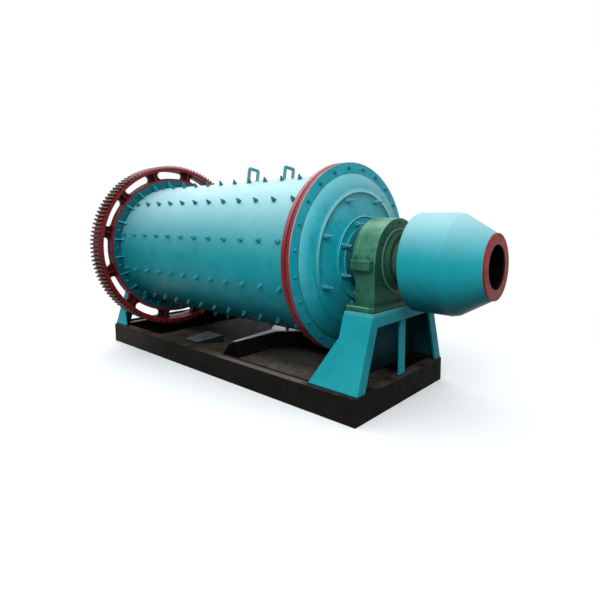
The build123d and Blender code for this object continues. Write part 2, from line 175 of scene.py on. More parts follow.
def placedCopies(shape, places, outward, spin=0.0):
    # copies of a shape with its height along each outward direction w: P = place + x u + y v + z w,
    # where u and v are turned about w by spin
    points, faces = shape
    w = unit(outward)
    helper = np.where(np.abs(w[:, :1]) > 0.9, [[0.0, 0.0, 1.0]], [[1.0, 0.0, 0.0]])  # any direction well off w
    u = unit(np.cross(helper, w))
    v = np.cross(w, u)
    angle = np.broadcast_to(np.asarray(spin, float), (len(places),))[:, None]
    turnedU, turnedV = u * np.cos(angle) + v * np.sin(angle), v * np.cos(angle) - u * np.sin(angle)
    axes = np.stack([turnedU, turnedV, w], 1)
    moved = places[:, None, :] + np.einsum("pk,nkd->npd", points, axes)
    return [(copy, faces) for copy in moved]


def roundAxis(x, radius, angles):
    # points (x, -r cos a, axisHeight + r sin a) and their directions away from the axis
    angles = np.radians(np.asarray(angles, float))
    away = np.stack([0 * angles, -np.cos(angles), np.sin(angles)], -1)
    along = np.array([1.0, 0, 0]) * np.asarray(x)[..., None]
    return away * radius + np.array([0, 0, axisHeight]) + along, away


def endwiseCopies(shape, x, radius, angles, direction, spin):
    # copies on a circle round the mill axis at x, all pointing along +X (direction 1) or -X (direction -1)
    places = roundAxis(np.full(len(angles), x), radius, angles)[0]
    return placedCopies(shape, places, np.tile([[1.0, 0, 0]], (len(places), 1)) * direction, spin)


def beadShape(path, radius, closed=False, sides=6, ripple=0.12, pitch=0.02):
    # a round bead along a path: P = C + R (cos b N + sin b B), with R = radius (1 + ripple sin(turn s / pitch))
    path = np.asarray(path, float)
    ahead = np.roll(path, -1, 0) - np.roll(path, 1, 0)
    if not closed:
        ahead[0], ahead[-1] = path[1] - path[0], path[-1] - path[-2]
    ahead = unit(ahead)
    helper = np.where(np.abs(ahead[:, :1]) > 0.8, [[0.0, 0.0, 1.0]], [[1.0, 0.0, 0.0]])  # well off the path
    normal = unit(np.cross(ahead, helper))[:, None]
    other = np.cross(ahead, normal[:, 0])[:, None]
    along = np.concatenate([[0], np.cumsum(np.linalg.norm(np.diff(path, axis=0), axis=1))])
    size = radius * (1 + ripple * np.sin(turn * along / pitch))[:, None, None]
    b = (np.arange(sides) * turn / sides)[None, :, None]
    points = path[:, None] + size * (np.cos(b) * normal + np.sin(b) * other)
    return points, skinFaces(len(path), sides, closed=closed)


# surface patterns

def addNode(tree, kind, sockets=None, **settings):
    # adds a node with its settings; sockets holds a link, a fixed value or a hex colour for each input
    node = tree.nodes.new(kind)
    for key, value in settings.items():
        setattr(node, key, value)
    for key, value in (sockets or {}).items():
        if isinstance(value, bpy.types.NodeSocket):
            tree.links.new(value, node.inputs[key])
        else:
            node.inputs[key].default_value = linearColour(value) if isinstance(value, str) else value
    return node


def cloudShare(tree, size, low, high, stretch=(1, 1, 1), detail=4.0, shift=0.0):
    # share 0..1 = smooth step from low to high of a noise whose patches are size metres wide, stretched per axis
    place = addNode(tree, "ShaderNodeTexCoord").outputs["Object"]
    mapping = {"Vector": place, "Scale": tuple(1 / (size * part) for part in stretch), "Location": (shift,) * 3}
    moved = addNode(tree, "ShaderNodeMapping", mapping).outputs[0]
    noise = {"Vector": moved, "Scale": 1.0, "Detail": detail}
    step = {"Value": addNode(tree, "ShaderNodeTexNoise", noise).outputs["Fac"], "From Min": low, "From Max": high}
    return addNode(tree, "ShaderNodeMapRange", step, interpolation_type="SMOOTHSTEP").outputs["Result"]


def placeReading(tree, name):
    # x, y and z of the place, side = |y|, r = distance from the mill axis, up = z part of the surface's direction
    if name == "up":
        direction = addNode(tree, "ShaderNodeNewGeometry").outputs["Normal"]
        return addNode(tree, "ShaderNodeSeparateXYZ", {0: direction}).outputs[2]
    place = addNode(tree, "ShaderNodeTexCoord").outputs["Object"]
    if name == "r":
        axis = {0: place, 1: (0, 0, axisHeight)}
        moved = addNode(tree, "ShaderNodeVectorMath", axis, operation="SUBTRACT").outputs[0]
        flat = addNode(tree, "ShaderNodeVectorMath", {0: moved, 1: (0, 1, 1)}, operation="MULTIPLY").outputs[0]
        return addNode(tree, "ShaderNodeVectorMath", {0: flat}, operation="LENGTH").outputs["Value"]
    parts = addNode(tree, "ShaderNodeSeparateXYZ", {0: place}).outputs
    if name == "side":
        return addNode(tree, "ShaderNodeMath", {0: parts[1]}, operation="ABSOLUTE").outputs[0]
    return parts["xyz".index(name)]


# what every finish shares: its clouds, as a noise's step from low to high with a shift that keeps them apart,
# the width of streaks and specks, the dark clouds' width as a part of the patch, the rise of the roughness in them,
# and the radius of worn edges. A real speck of dirt is 2 to 5 mm, too fine to show, so it is drawn at 11 mm
clouds = {
    "light": {"low": 0.40, "high": 0.68},
    "dark": {"low": 0.46, "high": 0.70, "shift": 3.7},
    "streak": {"low": 0.52, "high": 0.72, "shift": 8.1},
    "speck": {"low": 0.66, "high": 0.74, "shift": 5.3, "detail": 2.0},
    "mark": {"low": 0.30, "high": 0.60, "shift": 2.2},
}
shared = {
    "streak": 0.045, "speck": 0.011, "darkPart": 0.31, "roughRise": 0.12, "edge": 0.004, "edgeSamples": 4,
    "skinDetail": 3.0, "grainDetail": 2.0,
}


def markShare(tree, mark):
    # share = strength times a smooth step for each line (reading, start, end), 0 at start and 1 at end;
    # a reading is one name or a sum of names times weights plus a constant, and a cloud breaks the mark up
    share = mark.get("strength", 1.0)
    for reading, start, end in mark["where"]:
        weights = {reading: 1.0} if isinstance(reading, str) else reading
        total = weights.get("plus", 0.0)
        for name, weight in weights.items():
            if name != "plus":
                terms = {0: placeReading(tree, name), 1: weight, 2: total}
                total = addNode(tree, "ShaderNodeMath", terms, operation="MULTIPLY_ADD").outputs[0]
        step = {"Value": total, "From Min": start, "From Max": end}
        step = addNode(tree, "ShaderNodeMapRange", step, interpolation_type="SMOOTHSTEP").outputs["Result"]
        share = addNode(tree, "ShaderNodeMath", {0: step, 1: share}, operation="MULTIPLY").outputs[0]
    if "cloud" in mark:
        cloud = cloudShare(tree, mark["cloud"], **clouds["mark"])
        share = addNode(tree, "ShaderNodeMath", {0: share, 1: cloud}, operation="MULTIPLY").outputs[0]
    return share


def finishedSurface(name, finish, *marks):
    # colour = base, then light and dark clouds, run-off streaks, specks and the marks laid over it by their shares
    # bump = coarse skin plus fine grain, on edges rounded by a bevel; roughness rises in the dark clouds
    material = bpy.data.materials.new(name)
    material.use_nodes = True
    tree = material.node_tree
    shader = tree.nodes["Principled BSDF"]
    streakAxes = finish.get("streakAxes", (1, 1, 9))
    darkCloud = cloudShare(tree, finish["patch"] * shared["darkPart"], **clouds["dark"])
    layers = [
        (cloudShare(tree, finish["patch"], **clouds["light"]), finish["lightShare"], finish["light"]),
        (darkCloud, finish["darkShare"], finish["dark"]),
        (cloudShare(tree, shared["streak"], stretch=streakAxes, **clouds["streak"]), finish["streak"],
         finish["grime"]),
        (cloudShare(tree, shared["speck"], **clouds["speck"]), finish["speck"], finish["grime"]),
    ]
    layers += [(markShare(tree, mark), 1.0, mark["colour"]) for mark in marks]
    colour = finish["base"]
    for cloud, strength, over in layers:
        share = addNode(tree, "ShaderNodeMath", {0: cloud, 1: strength}, operation="MULTIPLY").outputs[0]
        colour = addNode(tree, "ShaderNodeMix", {0: share, 6: colour, 7: over}, data_type="RGBA").outputs[2]
    tree.links.new(colour, shader.inputs["Base Color"])
    rough = {"Value": darkCloud, "To Min": finish["rough"], "To Max": finish["rough"] + shared["roughRise"]}
    tree.links.new(addNode(tree, "ShaderNodeMapRange", rough).outputs["Result"], shader.inputs["Roughness"])
    shader.inputs["Metallic"].default_value = finish.get("metallic", 0.0)
    shader.inputs["Specular IOR Level"].default_value = finish.get("level", 0.5)
    place = addNode(tree, "ShaderNodeTexCoord").outputs["Object"]
    height = 0.0
    for layer in ("skin", "grain"):
        noise = {"Vector": place, "Scale": 1 / finish[layer], "Detail": shared[layer + "Detail"]}
        terms = {0: addNode(tree, "ShaderNodeTexNoise", noise).outputs["Fac"], 1: finish[layer + "Depth"], 2: height}
        height = addNode(tree, "ShaderNodeMath", terms, operation="MULTIPLY_ADD").outputs[0]
    relief = {"Height": height, "Distance": 1.0}
    edge = finish.get("edge", shared["edge"])
    if edge > 0:
        bevel = addNode(tree, "ShaderNodeBevel", {"Radius": edge}, samples=shared["edgeSamples"])
        relief["Normal"] = bevel.outputs[0]
    tree.links.new(addNode(tree, "ShaderNodeBump", relief).outputs[0], shader.inputs["Normal"])
    return material


# Finishes. Sizes are metres on the mill: patch is the width of one brushed or faded area, skin that of the hills
# under the paint, grain that of brush marks and grit, which are about 1 mm, too fine to show, and so are drawn at
# 4 to 6 mm. The shares say how much of each colour is laid over the base.

# enamel brushed over rolled plate: an even teal with a satin sheen, brush patches and faint run-off
tealPlate = {
    "base": "#19949F", "light": "#30A1AC", "dark": "#12828D", "grime": "#1F636D",
    "patch": 0.55, "lightShare": 0.40, "darkShare": 0.30, "streak": 0.12, "speck": 0.12, "level": 0.05,
    "rough": 0.34, "skin": 0.09, "skinDepth": 0.0005, "grain": 0.006, "grainDepth": 0.00003,
}
# the same enamel over a sand casting: the casting's skin shows as soft hills under the paint
tealCast = {
    "base": "#1398A7", "light": "#2CA6B3", "dark": "#0A7C8A", "grime": "#155863",
    "patch": 0.30, "lightShare": 0.50, "darkShare": 0.40, "streak": 0.12, "speck": 0.22, "level": 0.20,
    "rough": 0.34, "skin": 0.035, "skinDepth": 0.0012, "grain": 0.005, "grainDepth": 0.0001,
}
# oxide red enamel on machined rims: deep red, duller where it is thin
redRim = {
    "base": "#7B1A20", "light": "#8F2F35", "dark": "#5E1116", "grime": "#3A1414",
    "patch": 0.22, "lightShare": 0.35, "darkShare": 0.45, "streak": 0.0, "speck": 0.25, "level": 0.12,
    "rough": 0.40, "skin": 0.05, "skinDepth": 0.0008, "grain": 0.006, "grainDepth": 0.00005,
}
# oxide red enamel on the cast girth gear, with grease thrown over it
redCast = {
    "base": "#7A1A21", "light": "#8F3037", "dark": "#4C1216", "grime": "#241010",
    "patch": 0.20, "lightShare": 0.40, "darkShare": 0.50, "streak": 0.20, "speck": 0.40, "level": 0.16,
    "rough": 0.42, "skin": 0.03, "skinDepth": 0.0014, "grain": 0.006, "grainDepth": 0.0001,
}
# thin green primer on the cast bearing housings: a dull skin over coarse sand marks, weathered in pale patches
greenCast = {
    "base": "#215A46", "light": "#357056", "dark": "#13402F", "grime": "#33362A",
    "patch": 0.16, "lightShare": 0.50, "darkShare": 0.50, "streak": 0.35, "speck": 0.35, "level": 0.25,
    "rough": 0.46, "skin": 0.022, "skinDepth": 0.0018, "grain": 0.005, "grainDepth": 0.0002,
}
# black bitumen paint on rolled channel: matt, dusty and brown where it is worn
blackBeam = {
    "base": "#171615", "light": "#211F1D", "dark": "#100F0F", "grime": "#281F1A",
    "patch": 0.40, "lightShare": 0.55, "darkShare": 0.40, "streak": 0.30, "streakAxes": (1, 1, 7), "speck": 0.30,
    "level": 0.02, "rough": 0.50, "skin": 0.06, "skinDepth": 0.0010, "grain": 0.005, "grainDepth": 0.0001,
}
# bare deck plate under dust: brown mill scale with paler dirt, drawn along the mill
brownDeck = {
    "base": "#332E28", "light": "#433D35", "dark": "#1E1B18", "grime": "#35281F",
    "patch": 0.28, "lightShare": 0.60, "darkShare": 0.60, "streak": 0.35, "streakAxes": (6, 1, 1), "speck": 0.35,
    "level": 0.06, "rough": 0.62, "skin": 0.05, "skinDepth": 0.0010, "grain": 0.005, "grainDepth": 0.0003,
    "edge": 0.0,
}
# grey-green coat on the deck pad: matt and dusty
greyPad = {
    "base": "#404645", "light": "#525958", "dark": "#2E3434", "grime": "#2A2F30",
    "patch": 0.18, "lightShare": 0.50, "darkShare": 0.45, "streak": 0.20, "streakAxes": (5, 1, 1), "speck": 0.30,
    "level": 0.06, "rough": 0.60, "skin": 0.04, "skinDepth": 0.0008, "grain": 0.004, "grainDepth": 0.0003,
    "edge": 0.0,
}
# turned carbon steel of the journals under bearing grease: dark olive, with a dull shine and rings round the axis
greasedSteel = {
    "base": "#3F4630", "light": "#5C6342", "dark": "#22251C", "grime": "#181812",
    "patch": 0.12, "lightShare": 0.40, "darkShare": 0.65, "streak": 0.35, "streakAxes": (0.4, 6, 6), "speck": 0.30,
    "rough": 0.42, "metallic": 0.55, "skin": 0.03, "skinDepth": 0.0005, "grain": 0.004, "grainDepth": 0.0002,
}
# teal enamel slopped over nuts and studs: darker, with dirt held in the corners
tealNut = {
    "base": "#1C8794", "light": "#45AFBA", "dark": "#0C5C67", "grime": "#06333A",
    "patch": 0.05, "lightShare": 0.50, "darkShare": 0.60, "streak": 0.0, "speck": 0.45, "level": 0.30,
    "rough": 0.38, "skin": 0.012, "skinDepth": 0.0006, "grain": 0.004, "grainDepth": 0.0002, "edge": 0.002,
}
# other shades of the same finishes
handlePaint = {**tealPlate, "base": "#4A8A91", "light": "#62A0A6", "dark": "#356F76"}
# inner plates: a darker copy of the teal enamel, as painted shade
innerShadedPaint = {**tealPlate, "base": "#12434C", "light": "#1B535D", "dark": "#0C3239", "level": 0.03}
studPaint = {**tealNut, "base": "#348F9A", "light": "#62B4BD", "dark": "#14626D"}
mouthPaint = {**redRim, "base": "#8A0F16", "light": "#96242A", "dark": "#6E0A10"}
capPaint = {**greenCast, "base": "#33725A", "light": "#4A876E", "dark": "#1F5743"}
ringPaint = {**greenCast, "base": "#19493A", "light": "#28604A"}
bayScale = {**brownDeck, "base": "#605B51", "light": "#716C63", "dark": "#423E37"}
paintedSteel = {**greasedSteel, "metallic": 0.15}

# Marks laid over a finish, in the order in which they are laid. Where: (reading, start, end), as markShare has it.

# shell: painted sheen on the upper side, standing in for sky reflection, and painted shade on the underside
shellMarks = {
    "paintedUnderShade": {"where": [("z", 1.10, 0.55)], "strength": 0.60, "colour": "#0A414A"},
    "paintedTopSheen": {"where": [("z", 1.163, 2.20)], "strength": 0.66, "colour": "#D2ECEF"},
}
# feed drum: the same, and painted near black inside as shade, r under 0.401 and in the cone under the line 1.6406 -
# 0.5848 x
drumMarks = {
    "paintedUnderShade": {"where": [("z", 1.20, 0.80)], "strength": 0.75, "colour": "#0B3A40"},
    "paintedTopSheen": {"where": [("z", 1.26, 1.80)], "strength": 0.60, "colour": "#D6EEF1"},
    "insideShade": {"where": [("r", 0.4013, 0.4005), ({"r": 1.0, "x": 0.5848, "plus": -1.6406}, 0.001, -0.001)],
               "colour": "#141417"},
}
# mouth ring: painted shade on its lower half, and the bore painted near black as shade
mouthMarks = {
    "shade": {"where": [("z", 1.30, 1.05)], "strength": 0.30, "colour": "#5A0D12"},
    "bore": {"where": [("r", 0.1752, 0.1735)], "colour": "#151010"},
}
# the shell's feed flange: a painted highlight on its upper part, painted shade below, and painted shade in the
# groove beside the cover
rimMarks = {
    "paintedTopSheen": {"where": [("r", 0.868, 0.8735), ("z", 1.25, 1.95)], "strength": 0.45, "colour": "#D09A9F"},
    "paintedUnderShade": {"where": [("r", 0.868, 0.8735), ("z", 1.05, 0.60)], "strength": 0.70, "colour": "#2E0B0E"},
    "groove": {"where": [("r", 0.835, 0.840), ("x", 1.007, 1.011)], "strength": 0.85, "colour": "#6A1C24"},
}
# end cover: painted shade on its lower side, a painted highlight on its upper rim, painted shade in the recess
# inside the lip, painted highlights on the rounded shoulder, the lip and the red edge, painted shade lines at the
# foot of the shoulder and beneath the lip, and its own red rim, with painted shade below and in its half of the
# groove
coverMarks = {
    "paintedUnderShade": {"where": [("z", 1.22, 0.55)], "strength": 0.58, "colour": "#0B4650"},
    "paintedTopSheen": {"where": [("z", 1.45, 2.25), ("r", 0.785, 0.765)], "strength": 0.28, "colour": "#C4E4E8"},
    "recessShade": {"where": [("r", 0.535, 0.575), ("r", 0.602, 0.600), ("z", 1.00, 1.40)],
               "strength": 0.35, "colour": "#0A6A77"},
    "shoulderHighlight": {"where": [("r", 0.690, 0.768), ("r", 0.7725, 0.7705), ("z", 0.85, 1.25)],
                 "strength": 0.32, "colour": "#7CC6CE"},
    "shoulderShadeLine": {"where": [("r", 0.7715, 0.7725), ("r", 0.7795, 0.7775), ("x", 1.060, 1.064)],
                     "strength": 0.60, "colour": "#0A3F48"},
    "lip": {"where": [("r", 0.599, 0.602), ("r", 0.652, 0.608), ("x", 1.136, 1.142), ("z", 1.00, 1.55)],
            "strength": 0.78, "colour": "#93D6DC"},
    "lipShadeLine": {"where": [("r", 0.640, 0.650), ("r", 0.668, 0.655), ("z", 1.30, 1.05)],
                "strength": 0.35, "colour": "#0A4650"},
    "red": {"where": [("r", 0.8725, 0.8735)], "colour": "#7B1A20"},
    "redUnderShade": rimMarks["paintedUnderShade"],
    "groove": {"where": [("r", 0.835, 0.840), ("x", 1.031, 1.027)], "strength": 0.85, "colour": "#6A1C24"},
    "redEdgeHighlight": {"where": [("r", 0.869, 0.872), ("x", 1.0560, 1.0625), ("z", 1.10, 1.50)],
                "strength": 0.55, "colour": "#D9AEB3"},
}
# trunnion flange: a painted highlight along the upper part of its outer edge
hubMarks = {
    "wearAndHighlight": {"where": [("r", 0.377, 0.380), ("x", 1.1735, 1.1765), ("z", 1.10, 1.50)],
             "strength": 0.70, "colour": "#8BD0D7"},
}
# girth gear: grease on the teeth, worn tips, a painted highlight on the upper teeth, and in the hollow of the web
# grease darkened further by painted shade
toothMarks = {
    "grease": {"where": [("r", 1.024, 1.032), ("x", -1.922, -1.932)], "strength": 0.80, "colour": "#2A1C19"},
    "wearAndHighlight": {"where": [("r", 1.0545, 1.0585)], "strength": 0.40, "colour": "#84594F", "cloud": 0.05},
    "paintedTopSheen": {"where": [("r", 1.028, 1.040), ("z", 2.02, 2.26)], "strength": 0.60, "colour": "#D3A9A6"},
}
webMarks = {
    "grease": {"where": [("r", 0.889, 0.896), ("r", 1.000, 0.994), ("x", -1.955, -1.972)],
               "strength": 0.85, "colour": "#1C0E0D"},
}
# the shell's gear flange: painted shade on its face between the gussets, and painted shade on its lower side as on
# the covers
gearFlangeMarks = {
    "face": {"where": [("x", -1.944, -1.948), ("r", 0.772, 0.776)], "strength": 0.75, "colour": "#12303C"},
    "paintedUnderShade": coverMarks["paintedUnderShade"],
}
# bearings: a painted highlight on the cap's crown, painted highlights along the upper edge of the foot and of the
# ring, and painted shade on the end face
bearingMarks = {
    "crownHighlight": {"where": [("z", 1.40, 1.62), ("up", 0.15, 0.55)], "strength": 0.62, "colour": "#8FC2A9",
              "cloud": 0.22},
    "face": {"where": [("x", 1.5400, 1.5415)], "strength": 0.70, "colour": "#0F4033"},
    "foot": {"where": [("z", 0.876, 0.884), ("z", 0.8895, 0.8880), ("side", 0.440, 0.450)],
             "strength": 0.55, "colour": "#8FC3A2"},
    "ring": {"where": [("r", 0.266, 0.274), ("x", 1.548, 1.552)], "strength": 0.40, "colour": "#86AE93"},
}
# feed journal: teal overspray on the drum's side of the bearing, green on the outer side
journalMarks = {
    "teal": {"where": [("x", 1.322, 1.314)], "colour": "#0A5560"},
    "green": {"where": [("x", 1.50, 1.56)], "strength": 0.85, "colour": "#1D4A38"},
}
# nuts: darker towards the top, against the shell's painted sheen, and painted shade on those low down
boltMarks = {
    "top": {"where": [("z", 1.45, 1.85)], "strength": 0.60, "colour": "#0B4853"},
    "low": {"where": [("z", 0.90, 0.60)], "strength": 0.65, "colour": "#0A3A42"},
}
# side beams: dust and scuffs on the upper flange, a painted shadow line along its outer part, dust on the web at the
# gear end
beamMarks = {
    "dustAndHighlight": {"where": [("z", 0.216, 0.2225)], "strength": 0.80, "colour": "#4B423D", "cloud": 0.20},
    "scuffs": {"where": [("z", 0.216, 0.2225), ("x", -0.35, 0.05), ("x", 1.15, 0.95)],
               "strength": 0.60, "colour": "#7F7570"},
    "shadowStrip": {"where": [("z", 0.216, 0.2225), ("side", 0.6215, 0.6222), ("side", 0.664, 0.654),
                        ("x", -0.20, -0.10)], "strength": 0.90, "colour": "#0C0B0A"},
    "web": {"where": [("x", -0.90, -2.10), ("z", 0.2230, 0.2150)], "strength": 0.55, "colour": "#3E3732"},
}
# end beam at the gear: pale dust on top, made paler still as a painted highlight
endBeamMarks = {"dustAndHighlight": {"where": [("z", 0.216, 0.2225)], "strength": 0.80, "colour": "#A79C96"}}
# cross beam: a painted highlight along its upper edge
crossMarks = {
    "edge": {"where": [("z", 0.203, 0.209), ("y", -0.26, -0.20)], "strength": 0.70, "colour": "#8F8A8B",
             "cloud": 0.08},
}
# deck: painted shadow under the mill, and painted light in a strip along its edge above the bay and in another
# across its cut rear corner
deckMarks = {
    "shade": {"where": [("y", -0.34, -0.17)], "strength": 0.94, "colour": "#050405"},
    "paintedLightBand": {"where": [({"x": 1.0, "y": 0.113, "plus": 0.479}, -0.006, 0.006), ("y", -0.28, -0.24)],
             "strength": 0.95, "colour": "#EDE4E6"},
    "corner": {"where": [({"x": 1.0, "y": 0.6645, "plus": 0.2736}, -0.006, 0.006), ("y", 0.425, 0.450),
                         ({"x": -1.0, "y": -1.0, "plus": 0.17}, -0.004, 0.004)],
               "strength": 0.95, "colour": "#EDE4E6"},
}
# floor plate: painted shade under the mill; pad: painted shade on its sides
bayMarks = {"shade": {"where": [("y", -0.12, 0.16)], "strength": 0.70, "colour": "#12100F"}}
padMarks = {"sides": {"where": [("up", 0.80, 0.50)], "strength": 0.95, "colour": "#07090B"}}
# pedestals: painted shade on the inner faces of the side plates, low on the frames and low on the inner plates,
# black at the foot, and painted highlights along the top plate's edges
pedestalMarks = {
    "insideShade": {"where": [({"side": 1.0, "z": 0.3317, "plus": -0.7763}, -0.008, -0.013), ("x", 1.5925, 1.5905),
                         ("x", -2.2965, -2.2945)], "strength": 0.85, "colour": "#103238"},
    "low": {"where": [("z", 0.80, 0.70)], "strength": 0.15, "colour": "#063038"},
    "plate": {"where": [("z", 0.55, 0.28)], "strength": 0.75, "colour": "#0A0C0D"},
    "foot": {"where": [("z", 0.243, 0.237)], "strength": 0.90, "colour": "#120D0D"},
    "topEdgeHighlight": {"where": [("z", 0.816, 0.819)], "strength": 0.30, "colour": "#7CC7D0"},
}

materials = {
    "shell": finishedSurface("enamelOnShellPlate", tealPlate, *shellMarks.values()),
    "handle": finishedSurface("enamelOnHandles", handlePaint),
    "gearFlange": finishedSurface("enamelOnGearFlange", tealCast, *gearFlangeMarks.values()),
    "gearCover": finishedSurface("enamelOnGearCover", tealCast, coverMarks["paintedUnderShade"]),
    "cover": finishedSurface("enamelOnEndCover", tealCast, *coverMarks.values()),
    "hub": finishedSurface("enamelOnTrunnionFlange", tealCast, *hubMarks.values()),
    "drum": finishedSurface("enamelOnFeedDrum", tealPlate, *drumMarks.values()),
    "mouth": finishedSurface("redEnamelOnMouthRing", mouthPaint, *mouthMarks.values()),
    "rim": finishedSurface("redEnamelOnFlange", redRim, *rimMarks.values()),
    "gearRim": finishedSurface("greasedGearTeeth", redCast, *toothMarks.values()),
    "gearWeb": finishedSurface("redEnamelOnGearWeb", redCast, *webMarks.values()),
    "cap": finishedSurface("greenPrimerOnCap", capPaint, bearingMarks["crownHighlight"], bearingMarks["face"]),
    "housing": finishedSurface("greenPrimerOnHousing", greenCast, bearingMarks["foot"], bearingMarks["face"]),
    "bearingRing": finishedSurface("greenPrimerOnRing", ringPaint, bearingMarks["ring"]),
    "beam": finishedSurface("bitumenPaintOnChannel", blackBeam, *beamMarks.values()),
    "endBeam": finishedSurface("bitumenPaintOnEndBeam", blackBeam, *endBeamMarks.values()),
    "cross": finishedSurface("bitumenPaintOnCrossBeam", blackBeam, *crossMarks.values()),
    "deck": finishedSurface("dustyDeckPlate", brownDeck, *deckMarks.values()),
    "bay": finishedSurface("dustyFloorPlate", bayScale, *bayMarks.values()),
    "pad": finishedSurface("greyCoatOnPad", greyPad, *padMarks.values()),
    "journal": finishedSurface("greasedSteel", greasedSteel),
    "feedJournal": finishedSurface("paintedAndGreasedJournal", paintedSteel, *journalMarks.values()),
    "nut": finishedSurface("enamelOnFasteners", tealNut, *boltMarks.values()),
    "stud": finishedSurface("enamelOnStuds", studPaint),
    "sidePlate": finishedSurface("enamelOnSidePlates", tealPlate, pedestalMarks["insideShade"], pedestalMarks["foot"]),
    "frame": finishedSurface("enamelOnEndFrames", tealPlate, pedestalMarks["low"], pedestalMarks["foot"]),
    "inner": finishedSurface("enamelOnInnerPlatesInShade", innerShadedPaint, pedestalMarks["plate"], pedestalMarks["foot"]),
    "pedestalTop": finishedSurface("enamelOnPedestalTop", tealPlate, pedestalMarks["topEdgeHighlight"]),
}
print("materials made,", len(materials))

nodeFinish = {
    "shell": "shell", "feed_shell_flange": "rim", "gear_shell_flange": "gearFlange", "gear_end_cover": "gearCover",
    "feed_end_cover": "cover", "feed_trunnion_flange": "hub", "gear_trunnion_flange": "gearCover",
    "feed_trunnion": "feedJournal", "gear_trunnion": "journal",
    "girth_gear_rim": "gearRim", "girth_gear_web": "gearWeb",
    "feed_drum_back": "drum", "feed_drum_barrel": "drum", "feed_drum_cone": "drum", "feed_mouth_ring": "mouth",
    "shell_handle_feed_side": "handle", "shell_handle_gear_side": "handle",
    "feed_bearing_cap": "cap", "gear_bearing_cap": "cap",
    "feed_bearing_base": "housing", "gear_bearing_base": "housing",
    "feed_bearing_ring": "bearingRing", "gear_bearing_ring": "bearingRing",
    "side_beam_front": "beam", "side_beam_rear": "beam", "end_beam_feed": "beam", "end_beam_gear": "endBeam",
    "cross_beam": "cross", "deck_plate": "deck", "bay_floor_plate": "bay", "deck_pad": "pad",
    "feed_pedestal_side_front": "sidePlate", "feed_pedestal_side_rear": "sidePlate",
    "gear_pedestal_side_front": "sidePlate", "gear_pedestal_side_rear": "sidePlate",
    "feed_pedestal_outer_frame": "frame", "gear_pedestal_outer_frame": "frame",
    "feed_pedestal_inner_plate": "inner", "gear_pedestal_inner_frame": "inner",
    "feed_pedestal_top": "pedestalTop", "gear_pedestal_top": "pedestalTop",
}
for name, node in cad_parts.items():
    node.data.materials.clear()
    node.data.materials.append(materials[nodeFinish[name]])


# end cover and trunnion flange on the feed side: smooth castings, turned from half sections (x, r, rounding)

endCover = {
    "steps": 240,
    "outline": [
        (1.014, 0.750, 0.0), (1.014, 0.850, 0.0), (1.023, 0.850, 0.0), (1.023, 0.875, 0.003),
        (1.066, 0.875, 0.004), (1.066, 0.7745, 0.004), (1.078, 0.769, 0.012), (1.1015, 0.733, 0.030),
        (1.129, 0.680, 0.040), (1.1445, 0.618, 0.018), (1.1445, 0.601, 0.005), (1.130, 0.599, 0.005),
        (1.130, 0.523, 0.060), (1.150, 0.388, 0.002), (1.150, 0.260, 0.0), (1.108, 0.260, 0.0),
        (1.108, 0.390, 0.02), (1.102, 0.611, 0.02),
    ],
}
buildPiece("feed_cover_casting", [turnedShape(roundedCorners(endCover["outline"]), endCover["steps"])],
           "drum", materials["cover"], replaced=["feed_end_cover"])

trunnion = {
    "steps": 180,
    "flange": [
        (1.108, 0.150, 0.0), (1.178, 0.150, 0.0), (1.178, 0.292, 0.01), (1.166, 0.296, 0.006),
        (1.166, 0.378, 0.004), (1.178, 0.380, 0.004), (1.178, 0.390, 0.004), (1.150, 0.390, 0.0),
        (1.150, 0.260, 0.0), (1.108, 0.260, 0.0),
    ],
    "root": [
        (1.170, 0.150, 0.0), (1.240, 0.150, 0.0), (1.240, 0.215, 0.0), (1.214, 0.217, 0.02),
        (1.190, 0.250, 0.02), (1.1775, 0.290, 0.004), (1.170, 0.290, 0.0),
    ],
}
trunnionParts = [turnedShape(roundedCorners(trunnion[part]), trunnion["steps"]) for part in ("flange", "root")]
buildPiece("feed_trunnion_flange_casting", trunnionParts, "drum", materials["hub"],
           replaced=["feed_trunnion_flange"])
print("end cover and trunnion flange turned")


# liner bolts, flange bolts and cover studs: washer, nut and stud as rings (height, radius, hexagon share)

linerBolt = {
    "rows": 12, "firstRow": 12.5, "perRow": 12, "firstX": 0.824, "lastX": -1.863, "radius": 0.770, "seed": 3,
    "shape": [
        (-0.004, 0.025, 0), (0.005, 0.024, 0), (0.006, 0.0205, 1), (0.026, 0.0205, 1), (0.029, 0.0115, 0),
        (0.049, 0.0100, 0),
    ],
}
boltX = np.linspace(linerBolt["firstX"], linerBolt["lastX"], linerBolt["perRow"])
gridX, gridAngle = np.meshgrid(boltX, evenAngles(linerBolt["firstRow"], linerBolt["rows"]))
randomTurns = np.random.default_rng(linerBolt["seed"]).uniform(0, turn / 6, gridX.size)
places, away = roundAxis(gridX.ravel(), linerBolt["radius"], gridAngle.ravel())
linerBolts = placedCopies(fastenerShape(linerBolt["shape"]), places, away, randomTurns)
buildPiece("shell_liner_bolts", linerBolts, "drum", materials["nut"])

